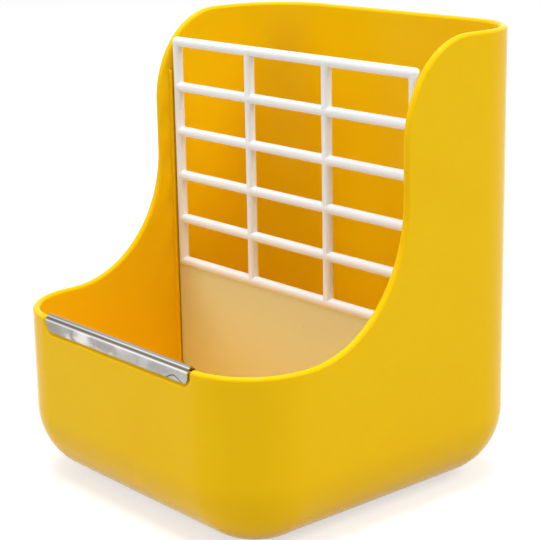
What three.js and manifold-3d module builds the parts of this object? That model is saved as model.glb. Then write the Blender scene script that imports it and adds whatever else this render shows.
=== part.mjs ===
// Hay feeder box for rabbits and guinea pigs: a low food bowl in front, a hay compartment behind,
// and a lift-out grid between them through which the animal pulls the hay.
// Millimetres, +Z up. The low lip faces -Y, +X is on the right seen from the front,
// and the origin is the centre of the flat underside.

import * as THREE from 'three';
import { mergeVertices } from 'three/addons/utils/BufferGeometryUtils.js';
import Module from 'manifold-3d';

const wasm = await Module();
wasm.setup();

// Clearances and overruns
const FIT_GAP = 0.3; // between pieces that seat on each other
const CUT_OVERRUN = 6; // how far a cutter runs past what it cuts
const ROOT_SINK = 1; // how far a moulded rib or a wing runs into the body that carries it

// Housing
const HOUSING_WIDTH = 146;
const HOUSING_DEPTH = 145.8;
const HOUSING_HEIGHT = 175;
const WALL = 3;
const PLAN_CORNER_RADIUS = 28.8;
const BASE_EDGE_RADIUS = 27.8;
const FLAT_CORNER_RADIUS = 1; // plan corners of the flat underside
const RIM_SHOULDER = 0.1; // flat left on each side of the round rim
const LEAST_STEP = 0.1; // points of a sweep closer than this count as one

// Swept side walls, seen from the side
const FRONT_RIM_HEIGHT = 68;
const FRONT_LEVEL_RUN = 31.3; // level rim behind the front face
const CHEEK_LEAD = 6.7; // the upright edge stands this far before the grid
const UPRIGHT_LENGTH = 19.3;
const SHOULDER_RUN = 30.4;
const SHOULDER_RISE = 36.8;

// Lift-out rack
const HAY_DEPTH = 57.8; // inner back wall to the plane of the bars
const RACK_SIDE_GAP = 0.5;
const BAR_DIAMETER = 4;
const INNER_BAR_SPACING = 44.4; // between the two inner upright bars
const GRID_PITCH = 18.5;
const GRID_ROWS = 5;
const PANEL_HEIGHT = 66.8; // foot of the panel to the bar on its top edge
const PANEL_THICKNESS = 2.4;

// Guide ribs that hold the sides of the rack
const GUIDE_RIB_WIDTH = 1.6;
const GUIDE_RIB_HEIGHT = 1.8;
const GUIDE_PLAY = 0.35;

// Gnawing guard on the front lip
const GUARD_END_MARGIN = 0.5; // flat front face left beyond each end of the guard
const GUARD_SHEET = 0.7;
const GUARD_SKIRT = 7; // crest of the guard to the lower edge of its front flange
const GUARD_TENT = 2.9; // height of the slanted part over the front flange
const GUARD_CREST_RISE = 1.6; // crest of the guard above the moulded rim
const GUARD_CREST_RADIUS = 1.1;
const GUARD_CORNER_RADIUS = 3;
const POCKET_MARGIN = 1.5; // moulded pocket round the guard's flange
const LIP_DROP = 0.9; // the lip is this much lower under the guard

// Bolts, washers and wing nuts for the wires of a cage
const BOLT_SPACING = 60;
const BOLT_HEIGHT = 39;
const BOLT_DIAMETER = 6;
const BOLT_LENGTH = 20;
const BOLT_HEAD_DIAMETER = 13;
const BOLT_HEAD_HEIGHT = 3.4;
const BOLT_TIP_CHAMFER = 0.7;
const DRIVE_LENGTH = 6;
const DRIVE_WIDTH = 1.2;
const DRIVE_DEPTH = 1.9;
const WASHER_DIAMETER = 24;
const WASHER_THICKNESS = 1.5;
const WASHER_EDGE_CHAMFER = 0.3;
const NUT_BASE_DIAMETER = 12.5;
const NUT_TOP_DIAMETER = 10;
const NUT_HEIGHT = 8;
const NUT_FOOT = 2;
const NUT_TOP_CHAMFER = 0.8;
const WING_SPAN = 33;
const WING_TOP = 13;
const WING_THICKNESS = 2.3;
const WING_TIP_RADIUS = 3.3;
const WING_ROOT_LOW = 1.2;
const WING_ROOT_HIGH = 6.8;
const WING_WAIST_SHARE = 0.45; // where the curve of a wing's edge pulls in

// Facet counts
const CORNER_FACETS = 12;
const BASE_EDGE_FACETS = 9;
const SWEEP_FACETS = 20;
const RIM_FACETS = 12;
const BAR_FACETS = 16;
const LATHE_FACETS = 40;
const ARC_FACETS = 8;

// Places worked out from the sizes above
const HALF_WIDTH = HOUSING_WIDTH / 2;
const HALF_DEPTH = HOUSING_DEPTH / 2;
const FRONT_FACE = -HALF_DEPTH;
const BACK_FACE = HALF_DEPTH;
const INNER_BACK = HALF_DEPTH - WALL;
const INNER_HALF_WIDTH = HALF_WIDTH - WALL;
const RIM_RADIUS = WALL / 2 - RIM_SHOULDER;
const CORNER_RADIUS = Math.min(PLAN_CORNER_RADIUS, FRONT_LEVEL_RUN);
const EDGE_RADIUS = Math.min(BASE_EDGE_RADIUS, CORNER_RADIUS - FLAT_CORNER_RADIUS);
const RACK_PLANE = INNER_BACK - HAY_DEPTH;
const BAR_RADIUS = BAR_DIAMETER / 2;
const RACK_HALF_WIDTH = INNER_HALF_WIDTH - RACK_SIDE_GAP;
const RACK_FOOT = WALL + FIT_GAP;
const PANEL_TOP = RACK_FOOT + PANEL_HEIGHT;
const RACK_TOP = PANEL_TOP + GRID_ROWS * GRID_PITCH;
const GUARD_HALF_LENGTH = HALF_WIDTH - CORNER_RADIUS - GUARD_END_MARGIN;
const GUARD_CREST = FRONT_RIM_HEIGHT + GUARD_CREST_RISE;
const GUARD_FOOT = GUARD_CREST - GUARD_SKIRT;
const POCKET_DEPTH = GUARD_SHEET + FIT_GAP;
const BOLT_X = BOLT_SPACING / 2;
const HOLE_RADIUS = BOLT_DIAMETER / 2 + FIT_GAP;

const PLASTIC_YELLOW = new THREE.MeshStandardMaterial({ color: 0xe6b812, roughness: 0.28, metalness: 0 });
const PLASTIC_WHITE = new THREE.MeshStandardMaterial({ color: 0xf1ece2, roughness: 0.35, metalness: 0 });
const STAINLESS = new THREE.MeshStandardMaterial({ color: 0xc4c6c8, roughness: 0.16, metalness: 1 });
const ZINC_PLATE = new THREE.MeshStandardMaterial({ color: 0xb4b7ba, roughness: 0.34, metalness: 1 });

/** Turns a closed geometry into a solid that can be joined and cut. */
function toSolid(geometry) {
  const bare = geometry.clone();
  bare.deleteAttribute('normal');
  bare.deleteAttribute('uv');
  const merged = mergeVertices(bare);
  const corners = merged.index.array;
  const triangles = [];
  for (let i = 0; i < corners.length; i += 3) {
    const [a, b, c] = [corners[i], corners[i + 1], corners[i + 2]];
    if (a !== b && b !== c && c !== a) triangles.push(a, b, c);
  }
  return new wasm.Manifold(new wasm.Mesh({
    numProp: 3,
    vertProperties: new Float32Array(merged.attributes.position.array),
    triVerts: new Uint32Array(triangles),
  }));
}

/** Turns a solid back into a geometry for a mesh. */
function toGeometry(solid) {
  const mesh = solid.getMesh();
  const geometry = new THREE.BufferGeometry();
  geometry.setAttribute('position', new THREE.BufferAttribute(Float32Array.from(mesh.vertProperties), 3));
  geometry.setIndex(new THREE.BufferAttribute(Uint32Array.from(mesh.triVerts), 1));
  geometry.computeVertexNormals();
  return geometry;
}

/** Joins any number of solids into one. */
function join(solids) {
  return solids.reduce((whole, solid) => whole.add(solid));
}

/** Builds a geometry from a list of points and a list of triangles between them. */
function faceted(points, triangles) {
  const geometry = new THREE.BufferGeometry().setFromPoints(points);
  geometry.setIndex(triangles);
  return geometry;
}

/** Skins equal rings of points from the lowest to the highest and caps both ends. */
function loft(rings) {
  const count = rings[0].length;
  const triangles = [];
  for (let k = 0; k + 1 < rings.length; k += 1) {
    for (let i = 0; i < count; i += 1) {
      const a = k * count + i;
      const b = k * count + (i + 1) % count;
      triangles.push(a, b, b + count, a, b + count, a + count);
    }
  }
  const top = (rings.length - 1) * count;
  for (let i = 1; i + 1 < count; i += 1) {
    triangles.push(0, i + 1, i, top, top + i, top + i + 1);
  }
  return faceted(rings.flat(), triangles);
}

/** Runs a round section along a closed path of { point, outward } stations. */
function sweepClosed(stations, radius, sides) {
  const count = stations.length;
  const points = [];
  const triangles = [];
  stations.forEach(({ point, outward }, i) => {
    const before = stations[(i + count - 1) % count].point;
    const after = stations[(i + 1) % count].point;
    const tangent = after.clone().sub(before).normalize();
    const upward = tangent.clone().cross(outward).normalize();
    for (let j = 0; j < sides; j += 1) {
      const turn = (2 * Math.PI * j) / sides;
      points.push(point.clone()
        .addScaledVector(outward, radius * Math.cos(turn))
        .addScaledVector(upward, radius * Math.sin(turn)));
      const a = i * sides + j;
      const d = i * sides + (j + 1) % sides;
      const b = ((i + 1) % count) * sides + j;
      const c = ((i + 1) % count) * sides + (j + 1) % sides;
      triangles.push(a, d, b, b, d, c);
    }
  });
  return faceted(points, triangles);
}

/** Extrudes an outline drawn in (y, z) across the width, from x = left to x = right. */
function extrudeAcross(outline, left, right) {
  const geometry = new THREE.ExtrudeGeometry(outline, {
    depth: right - left, bevelEnabled: false, curveSegments: SWEEP_FACETS,
  });
  const axes = new THREE.Matrix4().makeBasis(
    new THREE.Vector3(0, 1, 0), new THREE.Vector3(0, 0, 1), new THREE.Vector3(1, 0, 0),
  );
  return geometry.applyMatrix4(axes).translate(left, 0, 0);
}

/** Extrudes an outline drawn in (x, z) through the depth, from y = front to y = back. */
function extrudeThrough(outline, front, back) {
  const geometry = new THREE.ExtrudeGeometry(outline, {
    depth: back - front, bevelEnabled: false, curveSegments: ARC_FACETS,
  });
  return geometry.rotateX(Math.PI / 2).translate(0, back, 0);
}

/** A block between two opposite corners. */
function block(low, high) {
  const size = high.clone().sub(low);
  const centre = high.clone().add(low).multiplyScalar(0.5);
  return new THREE.BoxGeometry(size.x, size.y, size.z).translate(centre.x, centre.y, centre.z);
}

/** Revolves a closed or axis-to-axis profile of (radius, y) points about the Y axis. */
function revolve(profile) {
  return new THREE.LatheGeometry(profile, LATHE_FACETS);
}

/** Plan stations round a rounded rectangle, anticlockwise from the right side: place and outward way. */
function planCorner(halfX, halfY, radius, quarter) {
  const signX = quarter === 0 || quarter === 3 ? 1 : -1;
  const signY = quarter < 2 ? 1 : -1;
  const centre = new THREE.Vector3(signX * (halfX - radius), signY * (halfY - radius), 0);
  return Array.from({ length: CORNER_FACETS + 1 }, (_, i) => {
    const turn = (Math.PI / 2) * (quarter + i / CORNER_FACETS);
    const outward = new THREE.Vector3(Math.cos(turn), Math.sin(turn), 0);
    return { point: centre.clone().addScaledVector(outward, radius), outward };
  });
}

/** The whole rounded rectangle at one height. */
function planRing(halfX, halfY, radius, z) {
  return [0, 1, 2, 3].flatMap((quarter) => planCorner(halfX, halfY, radius, quarter))
    .map(({ point }) => point.setZ(z));
}

/** A tub with upright sides and a round base edge; inset shrinks it evenly to give the inner skin. */
function tub(inset, top) {
  const edge = EDGE_RADIUS - inset;
  const corner = CORNER_RADIUS - inset;
  const rings = Array.from({ length: BASE_EDGE_FACETS + 1 }, (_, k) => {
    const turn = (Math.PI / 2) * (k / BASE_EDGE_FACETS);
    const pull = edge * (1 - Math.sin(turn));
    const z = inset + edge * (1 - Math.cos(turn));
    return planRing(HALF_WIDTH - inset - pull, HALF_DEPTH - inset - pull, corner - pull, z);
  });
  rings.push(planRing(HALF_WIDTH - inset, HALF_DEPTH - inset, corner, top));
  return loft(rings);
}

/** Centre line of the rim on a side wall, in (y, z), from the front to the back. */
function sideSweep() {
  const frontZ = FRONT_RIM_HEIGHT - RIM_RADIUS;
  const topZ = HOUSING_HEIGHT - RIM_RADIUS;
  const uprightTop = HOUSING_HEIGHT - SHOULDER_RISE;
  const uprightFoot = uprightTop - UPRIGHT_LENGTH;
  const levelEnd = FRONT_FACE + FRONT_LEVEL_RUN;
  const uprightY = RACK_PLANE - CHEEK_LEAD;
  const sweep = new THREE.Path();
  sweep.moveTo(FRONT_FACE + CORNER_RADIUS, frontZ);
  sweep.lineTo(levelEnd, frontZ);
  sweep.absellipse(levelEnd, uprightFoot, uprightY - levelEnd, uprightFoot - frontZ, -Math.PI / 2, 0, false);
  sweep.lineTo(uprightY, uprightTop);
  sweep.absellipse(
    uprightY + SHOULDER_RUN, uprightTop, SHOULDER_RUN, topZ - uprightTop, Math.PI, Math.PI / 2, true,
  );
  sweep.lineTo(BACK_FACE - CORNER_RADIUS, topZ);
  return distinct(sweep.getPoints(SWEEP_FACETS));
}

/** Drops points that repeat the one before them. */
function distinct(points) {
  return points.filter((point, i) => i === 0 || point.distanceTo(points[i - 1]) > LEAST_STEP);
}

/** Everything above the rim's centre line. */
function aboveRim() {
  const line = sideSweep();
  const clear = HOUSING_HEIGHT + CUT_OVERRUN;
  const outline = new THREE.Shape([
    new THREE.Vector2(FRONT_FACE - CUT_OVERRUN, clear),
    new THREE.Vector2(FRONT_FACE - CUT_OVERRUN, line[0].y),
    ...line,
    new THREE.Vector2(BACK_FACE + CUT_OVERRUN, line[line.length - 1].y),
    new THREE.Vector2(BACK_FACE + CUT_OVERRUN, clear),
  ]);
  return extrudeAcross(outline, -HALF_WIDTH - CUT_OVERRUN, HALF_WIDTH + CUT_OVERRUN);
}

/** The round rim, one closed loop over both side sweeps, the back and the front lip. */
function rim() {
  const halfX = HALF_WIDTH - WALL / 2;
  const halfY = HALF_DEPTH - WALL / 2;
  const radius = CORNER_RADIUS - WALL / 2;
  const line = sideSweep();
  const topZ = line[line.length - 1].y;
  const frontZ = line[0].y;
  const cornerAt = (quarter, z) => planCorner(halfX, halfY, radius, quarter)
    .map(({ point, outward }) => ({ point: point.setZ(z), outward }));
  const sideAt = (sign) => line.slice(1, -1).map(({ x: y, y: z }) => ({
    point: new THREE.Vector3(sign * halfX, y, z), outward: new THREE.Vector3(sign, 0, 0),
  }));
  const stations = [
    ...sideAt(1), ...cornerAt(0, topZ), ...cornerAt(1, topZ),
    ...sideAt(-1).reverse(), ...cornerAt(2, frontZ), ...cornerAt(3, frontZ),
  ];
  return sweepClosed(stations, RIM_RADIUS, RIM_FACETS);
}

/** Four upright ribs, a pair on each side wall, with the rack's groove between them. */
function guideRibs() {
  const groove = BAR_RADIUS + GUIDE_PLAY;
  const nose = GUIDE_RIB_WIDTH / 2;
  const outline = new THREE.Shape();
  outline.moveTo(-ROOT_SINK, -nose);
  outline.lineTo(GUIDE_RIB_HEIGHT - nose, -nose);
  outline.absarc(GUIDE_RIB_HEIGHT - nose, 0, nose, -Math.PI / 2, Math.PI / 2, false);
  outline.lineTo(-ROOT_SINK, nose);
  const ribs = [];
  for (const side of [-1, 1]) {
    for (const face of [-1, 1]) {
      const rib = new THREE.ExtrudeGeometry(outline, {
        depth: HOUSING_HEIGHT, bevelEnabled: false, curveSegments: ARC_FACETS / 2,
      });
      if (side > 0) rib.rotateZ(Math.PI);
      rib.translate(side * INNER_HALF_WIDTH, RACK_PLANE + face * (groove + nose), 0);
      ribs.push(toSolid(rib));
    }
  }
  return join(ribs);
}

/** An upright rectangle in (x, z) about x = 0 with round lower corners. */
function roundFooted(halfX, foot, top, radius) {
  const outline = new THREE.Shape();
  outline.moveTo(halfX, top);
  outline.lineTo(-halfX, top);
  outline.lineTo(-halfX, foot + radius);
  outline.absarc(-halfX + radius, foot + radius, radius, Math.PI, 1.5 * Math.PI, false);
  outline.lineTo(halfX - radius, foot);
  outline.absarc(halfX - radius, foot + radius, radius, 1.5 * Math.PI, 2 * Math.PI, false);
  return outline;
}

/** The pocket in the front face that takes the guard's flange, and the lowered lip under its fold. */
function guardSeat() {
  const halfX = GUARD_HALF_LENGTH + POCKET_MARGIN;
  const above = FRONT_RIM_HEIGHT + CUT_OVERRUN;
  const pocket = extrudeThrough(
    roundFooted(halfX, GUARD_FOOT - POCKET_MARGIN, above, GUARD_CORNER_RADIUS + POCKET_MARGIN),
    FRONT_FACE - CUT_OVERRUN, FRONT_FACE + POCKET_DEPTH,
  );
  const lowered = block(
    new THREE.Vector3(-halfX, FRONT_FACE - CUT_OVERRUN, FRONT_RIM_HEIGHT - LIP_DROP),
    new THREE.Vector3(halfX, FRONT_FACE + WALL + CUT_OVERRUN, above),
  );
  return toSolid(pocket).add(toSolid(lowered));
}

/** The straight wall above the bowl, before the side walls are swept down to the lip. */
function highWall() {
  return loft([FRONT_RIM_HEIGHT, HOUSING_HEIGHT].map((z) => planRing(HALF_WIDTH, HALF_DEPTH, CORNER_RADIUS, z)));
}

/** One-piece moulded housing. */
function housing() {
  const outer = toSolid(tub(0, FRONT_RIM_HEIGHT)).add(toSolid(highWall()));
  const inner = toSolid(tub(WALL, HOUSING_HEIGHT + CUT_OVERRUN));
  const ribs = guideRibs().intersect(outer);
  let body = outer.subtract(inner).add(ribs).subtract(toSolid(aboveRim()));
  body = body.add(toSolid(rim())).subtract(guardSeat());
  for (const side of [-1, 1]) {
    const hole = new THREE.CylinderGeometry(HOLE_RADIUS, HOLE_RADIUS, WALL + 2 * CUT_OVERRUN, LATHE_FACETS)
      .translate(side * BOLT_X, BACK_FACE - WALL / 2, BOLT_HEIGHT);
    body = body.subtract(toSolid(hole));
  }
  return body;
}

/** A round bar between two points of the rack's plane, in the rack's own (x, z). */
function bar(from, to) {
  const along = to.clone().sub(from);
  const middle = to.clone().add(from).multiplyScalar(0.5);
  const geometry = new THREE.CylinderGeometry(BAR_RADIUS, BAR_RADIUS, along.length(), BAR_FACETS);
  if (Math.abs(along.x) > 0) geometry.rotateZ(Math.PI / 2);
  else geometry.rotateX(Math.PI / 2);
  return toSolid(geometry.translate(middle.x, 0, middle.y));
}

/** White grid and panel in one moulding, about x = 0, its foot at z = 0. */
function rack() {
  const edgeX = RACK_HALF_WIDTH - BAR_RADIUS;
  const panelTop = PANEL_TOP - RACK_FOOT;
  const gridTop = RACK_TOP - RACK_FOOT;
  const footRadius = EDGE_RADIUS - WALL;
  const panel = extrudeThrough(
    roundFooted(RACK_HALF_WIDTH, 0, panelTop, footRadius), -PANEL_THICKNESS / 2, PANEL_THICKNESS / 2,
  );
  const pieces = [toSolid(panel)];
  for (let row = 0; row <= GRID_ROWS; row += 1) {
    const z = panelTop + row * GRID_PITCH;
    pieces.push(bar(new THREE.Vector2(-edgeX, z), new THREE.Vector2(edgeX, z)));
  }
  for (const x of [-edgeX, -INNER_BAR_SPACING / 2, INNER_BAR_SPACING / 2, edgeX]) {
    pieces.push(bar(new THREE.Vector2(x, panelTop), new THREE.Vector2(x, gridTop)));
  }
  for (const side of [-1, 1]) {
    for (let row = 0; row <= GRID_ROWS; row += 1) {
      const knuckle = new THREE.SphereGeometry(BAR_RADIUS, BAR_FACETS, BAR_FACETS / 2).rotateX(Math.PI / 2);
      pieces.push(toSolid(knuckle.translate(side * edgeX, 0, panelTop + row * GRID_PITCH)));
    }
  }
  return join(pieces);
}

/** Moves an open line of (y, z) points sideways by a distance, keeping its corners sharp. */
function offsetLine(points, distance) {
  const normals = points.slice(1).map((point, i) => {
    const along = point.clone().sub(points[i]).normalize();
    return new THREE.Vector2(along.y, -along.x);
  });
  return points.map((point, i) => {
    const before = normals[Math.max(i - 1, 0)];
    const after = normals[Math.min(i, normals.length - 1)];
    const mitre = before.clone().add(after).normalize();
    return point.clone().addScaledVector(mitre, distance / mitre.dot(before));
  });
}

/** Folded stainless guard: front flange, slanted tent over the lip, and inner flange. */
function guard() {
  const inside = FRONT_FACE + WALL + FIT_GAP + GUARD_SHEET;
  const crestY = (FRONT_FACE + inside) / 2;
  const crestZ = GUARD_CREST - GUARD_CREST_RADIUS;
  const bendZ = GUARD_CREST - GUARD_TENT;
  const reach = Math.hypot(crestY - FRONT_FACE, crestZ - bendZ);
  const toBend = 2 * Math.PI + Math.atan2(bendZ - crestZ, FRONT_FACE - crestY);
  const start = toBend - Math.acos(GUARD_CREST_RADIUS / reach);
  const outer = [new THREE.Vector2(FRONT_FACE, GUARD_FOOT), new THREE.Vector2(FRONT_FACE, bendZ)];
  for (let i = 0; i <= ARC_FACETS; i += 1) {
    const turn = start + (Math.PI - 2 * start) * (i / ARC_FACETS);
    outer.push(new THREE.Vector2(
      crestY + GUARD_CREST_RADIUS * Math.cos(turn), crestZ + GUARD_CREST_RADIUS * Math.sin(turn),
    ));
  }
  outer.push(new THREE.Vector2(inside, bendZ), new THREE.Vector2(inside, GUARD_FOOT));
  const outline = new THREE.Shape([...outer, ...offsetLine(outer, GUARD_SHEET).reverse()]);
  const fold = toSolid(extrudeAcross(outline, -GUARD_HALF_LENGTH, GUARD_HALF_LENGTH));
  const blank = extrudeThrough(
    roundFooted(GUARD_HALF_LENGTH, GUARD_FOOT, GUARD_CREST + CUT_OVERRUN, GUARD_CORNER_RADIUS),
    FRONT_FACE - CUT_OVERRUN, inside + CUT_OVERRUN,
  );
  return fold.intersect(toSolid(blank));
}

/** Round-head bolt along +Y, its bearing face at y = 0. */
function bolt() {
  const shank = BOLT_DIAMETER / 2;
  const head = BOLT_HEAD_DIAMETER / 2;
  const profile = [];
  for (let i = 0; i <= ARC_FACETS; i += 1) {
    const turn = (Math.PI / 2) * (i / ARC_FACETS);
    profile.push(new THREE.Vector2(head * Math.sin(turn), -BOLT_HEAD_HEIGHT * Math.cos(turn)));
  }
  profile.push(
    new THREE.Vector2(shank, 0),
    new THREE.Vector2(shank, BOLT_LENGTH - BOLT_TIP_CHAMFER),
    new THREE.Vector2(shank - BOLT_TIP_CHAMFER, BOLT_LENGTH),
    new THREE.Vector2(0, BOLT_LENGTH),
  );
  let body = toSolid(revolve(profile));
  const deep = DRIVE_DEPTH - BOLT_HEAD_HEIGHT;
  const out = -BOLT_HEAD_HEIGHT - CUT_OVERRUN;
  for (const [halfX, halfZ] of [[DRIVE_LENGTH / 2, DRIVE_WIDTH / 2], [DRIVE_WIDTH / 2, DRIVE_LENGTH / 2]]) {
    body = body.subtract(toSolid(block(
      new THREE.Vector3(-halfX, out, -halfZ), new THREE.Vector3(halfX, deep, halfZ),
    )));
  }
  return body;
}

/** Large flat washer along +Y, its clamping face at y = 0. */
function washer() {
  const rimRadius = WASHER_DIAMETER / 2;
  return toSolid(revolve([
    new THREE.Vector2(HOLE_RADIUS, 0),
    new THREE.Vector2(rimRadius, 0),
    new THREE.Vector2(rimRadius, WASHER_THICKNESS - WASHER_EDGE_CHAMFER),
    new THREE.Vector2(rimRadius - WASHER_EDGE_CHAMFER, WASHER_THICKNESS),
    new THREE.Vector2(HOLE_RADIUS, WASHER_THICKNESS),
    new THREE.Vector2(HOLE_RADIUS, 0),
  ]));
}

/** One wing of the nut, in (x, y), reaching out to +X. */
function wingOutline() {
  const core = NUT_TOP_DIAMETER / 2 - ROOT_SINK;
  const tipX = WING_SPAN / 2 - WING_TIP_RADIUS;
  const tipY = WING_TOP - WING_TIP_RADIUS;
  const low = -Math.PI / 4;
  const high = 0.75 * Math.PI;
  const edge = (turn) => new THREE.Vector2(
    tipX + WING_TIP_RADIUS * Math.cos(turn), tipY + WING_TIP_RADIUS * Math.sin(turn),
  );
  const waistX = core + (tipX - core) * WING_WAIST_SHARE;
  const outline = new THREE.Shape();
  outline.moveTo(core, WING_ROOT_LOW);
  outline.quadraticCurveTo(waistX + WING_TIP_RADIUS, WING_ROOT_LOW, edge(low).x, edge(low).y);
  outline.absarc(tipX, tipY, WING_TIP_RADIUS, low, high, false);
  outline.quadraticCurveTo(waistX, WING_ROOT_HIGH, core, WING_ROOT_HIGH);
  return outline;
}

/** Wing nut along +Y, its seat at y = 0, tightened with its wings upright. */
function wingNut() {
  const foot = NUT_BASE_DIAMETER / 2;
  const top = NUT_TOP_DIAMETER / 2;
  const hub = toSolid(revolve([
    new THREE.Vector2(HOLE_RADIUS, 0),
    new THREE.Vector2(foot, 0),
    new THREE.Vector2(foot, NUT_FOOT),
    new THREE.Vector2(top, NUT_HEIGHT - NUT_TOP_CHAMFER),
    new THREE.Vector2(top - NUT_TOP_CHAMFER, NUT_HEIGHT),
    new THREE.Vector2(HOLE_RADIUS, NUT_HEIGHT),
    new THREE.Vector2(HOLE_RADIUS, 0),
  ]));
  const wing = new THREE.ExtrudeGeometry(wingOutline(), {
    depth: WING_THICKNESS, bevelEnabled: false, curveSegments: ARC_FACETS,
  }).translate(0, 0, -WING_THICKNESS / 2);
  const upper = toSolid(wing.clone().rotateY(-Math.PI / 2));
  const lower = toSolid(wing.clone().rotateY(Math.PI / 2));
  return join([hub, upper, lower]);
}

/** A named mesh at a place. */
function piece(name, solid, material, place) {
  const mesh = new THREE.Mesh(toGeometry(solid), material);
  mesh.name = name;
  mesh.position.copy(place);
  return mesh;
}

const feeder = new THREE.Group();
feeder.add(piece('housing', housing(), PLASTIC_YELLOW, new THREE.Vector3()));
feeder.add(piece('rack_panel', rack(), PLASTIC_WHITE, new THREE.Vector3(0, RACK_PLANE, RACK_FOOT)));
feeder.add(piece('lip_guard', guard(), STAINLESS, new THREE.Vector3()));

for (const [side, sign] of [['left', -1], ['right', 1]]) {
  const fixing = new THREE.Group();
  fixing.position.set(sign * BOLT_X, 0, BOLT_HEIGHT);
  const headSeat = INNER_BACK - FIT_GAP;
  const washerSeat = BACK_FACE + FIT_GAP;
  const nutSeat = washerSeat + WASHER_THICKNESS + FIT_GAP;
  fixing.add(piece(`${side}_bolt`, bolt(), ZINC_PLATE, new THREE.Vector3(0, headSeat, 0)));
  fixing.add(piece(`${side}_washer`, washer(), ZINC_PLATE, new THREE.Vector3(0, washerSeat, 0)));
  fixing.add(piece(`${side}_wing_nut`, wingNut(), ZINC_PLATE, new THREE.Vector3(0, nutSeat, 0)));
  feeder.add(fixing);
}

export default feeder;
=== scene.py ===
"""Hay feeder box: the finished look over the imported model.

The classes hold their sizes in millimetres. A mesh is scaled to metres when it is finished.
"""

import logging
import math
from collections.abc import Callable, Iterable, Mapping, Sequence
from dataclasses import dataclass, field
from enum import Enum

import bmesh
import bpy
from mathutils import Matrix, Vector


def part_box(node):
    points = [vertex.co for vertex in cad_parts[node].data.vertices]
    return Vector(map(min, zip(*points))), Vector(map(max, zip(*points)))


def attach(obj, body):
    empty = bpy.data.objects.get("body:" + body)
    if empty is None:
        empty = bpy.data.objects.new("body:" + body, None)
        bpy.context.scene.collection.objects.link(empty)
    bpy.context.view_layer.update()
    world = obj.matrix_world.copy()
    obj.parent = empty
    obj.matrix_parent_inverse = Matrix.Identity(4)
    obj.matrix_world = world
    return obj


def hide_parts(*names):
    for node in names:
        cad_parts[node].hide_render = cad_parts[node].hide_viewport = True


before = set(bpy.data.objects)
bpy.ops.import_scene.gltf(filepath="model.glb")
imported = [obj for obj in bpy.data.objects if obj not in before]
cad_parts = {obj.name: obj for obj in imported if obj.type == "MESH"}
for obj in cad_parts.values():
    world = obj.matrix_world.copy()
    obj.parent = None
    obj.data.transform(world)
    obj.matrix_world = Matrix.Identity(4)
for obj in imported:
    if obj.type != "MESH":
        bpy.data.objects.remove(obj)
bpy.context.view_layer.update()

MM = 0.001
# Places closer than this, in millimetres, count as one
NEAR = 1e-3
# An edge that turns by more than this, in radians, belongs to an outline
SHARP_TURN = 1.0
CHAMFER_FACETS = 2
ROUND_FACETS = 4
IMAGE_SIDE = 540.0
ALONG_X = Vector((1.0, 0.0, 0.0))
ALONG_Y = Vector((0.0, 1.0, 0.0))
ALONG_Z = Vector((0.0, 0.0, 1.0))
FACING_Y = Matrix.Rotation(math.pi / 2, 4, "X")

log = logging.getLogger("feeder")

Triple = tuple[float, float, float]
Colour = Triple
Point = tuple[float, float]
Settings = Mapping[str, object]
Inputs = Mapping[str | int, object]
Vertex = bmesh.types.BMVert
Edge = bmesh.types.BMEdge
Face = bmesh.types.BMFace


def smooth(low: float, high: float, value: float) -> float:
    """Rises softly from 0 at low to 1 at high."""
    t = min(1.0, max(0.0, (value - low) / (high - low)))
    return t * t * (3 - 2 * t)


# Shaders


class Signal:
    """A shader socket that takes part in Python expressions."""

    def __init__(self, graph: "Graph", socket: bpy.types.NodeSocket) -> None:
        """Wraps an output socket of a graph."""
        self.graph = graph
        self.socket = socket

    def _math(self, operation: str, first: "Signal | float", second: "Signal | float") -> "Signal":
        """The result of a Math node."""
        return self.graph.signal("ShaderNodeMath", {"operation": operation}, {0: first, 1: second})

    def __add__(self, other: "Signal | float") -> "Signal":
        """Sum."""
        return self._math("ADD", self, other)

    def __radd__(self, other: float) -> "Signal":
        """Sum, number first."""
        return self._math("ADD", other, self)

    def __sub__(self, other: "Signal | float") -> "Signal":
        """Difference."""
        return self._math("SUBTRACT", self, other)

    def __rsub__(self, other: float) -> "Signal":
        """Difference, number first."""
        return self._math("SUBTRACT", other, self)

    def __mul__(self, other: "Signal | float") -> "Signal":
        """Product."""
        return self._math("MULTIPLY", self, other)

    def __rmul__(self, other: float) -> "Signal":
        """Product, number first."""
        return self._math("MULTIPLY", other, self)

    def most(self, other: "Signal | float") -> "Signal":
        """The larger of the two."""
        return self._math("MAXIMUM", self, other)

    def sine(self) -> "Signal":
        """The sine of an angle in radians."""
        return self._math("SINE", self, 0.0)

    def _range(self, settings: Settings, low: float, high: float) -> "Signal":
        """The result of a Map Range node that gives 0 at low and 1 at high."""
        places = {"Value": self, "From Min": low, "From Max": high}
        return self.graph.signal("ShaderNodeMapRange", settings, places)

    def share(self, low: float, high: float) -> "Signal":
        """Where the value lies between two others, from 0 at low to 1 at high."""
        return self._range({}, low, high)

    def rise(self, low: float, high: float) -> "Signal":
        """The same share, rising softly from 0 and softly up to 1."""
        return self._range({"interpolation_type": "SMOOTHSTEP"}, low, high)


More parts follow.
